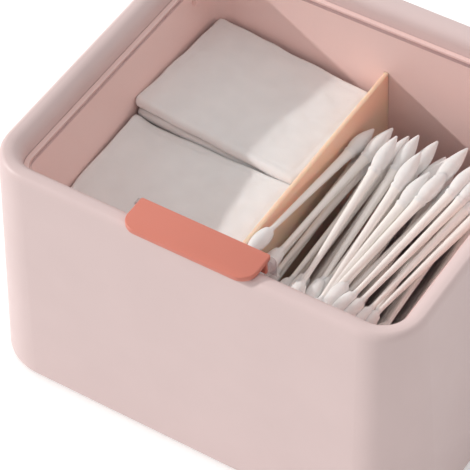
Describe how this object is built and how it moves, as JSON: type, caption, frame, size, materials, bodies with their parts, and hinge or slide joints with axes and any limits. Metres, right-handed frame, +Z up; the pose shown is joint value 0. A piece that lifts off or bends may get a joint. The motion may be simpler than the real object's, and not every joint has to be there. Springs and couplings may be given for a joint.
{
  "type": "cotton pad holder",
  "caption": "Soft-cornered vanity box that keeps cotton pads and cotton swabs apart under a clear lid, hinged at the back and lifted by a tab",
  "frame": {"origin": "centre of the footprint, on the surface that the feet stand on", "axes": "+X to the right along the longer side, +Y from the tab at the front to the hinge at the back, +Z up"},
  "size_m": [0.153, 0.1326, 0.0896],
  "materials": {
    "pink_shell": "satin moulded, faint texture",
    "pink_tray": "satin moulded",
    "peach_divider": "satin moulded",
    "foot_rubber": "matt",
    "clear_plastic": "clear polished plastic",
    "coral_tab": "satin moulded",
    "pin_steel": "plain drawn wire",
    "cotton": "soft white cotton"
  },
  "bodies": {
    "case": {"outer_shell": "pink_shell", "inner_tray": "pink_tray", "base_plate": "pink_tray", "divider": "peach_divider", "foot_front_left": "foot_rubber", "foot_front_right": "foot_rubber", "foot_rear_left": "foot_rubber", "foot_rear_right": "foot_rubber", "rear_pads": "cotton", "front_pads": "cotton", "cotton_swabs": "cotton", "swab_bundle": "cotton"},
    "lid": {"clear_lid": "clear_plastic", "lid_tab": "coral_tab", "hinge_pin_left": "pin_steel", "hinge_pin_right": "pin_steel"}
  },
  "joints": [
    {"name": "lid_hinge", "type": "hinge", "parent": "case", "child": "lid", "pos_m": [0, 0.0458, 0.0783], "axis": [-1, 0, 0], "range_deg": [0, 115]}
  ]
}
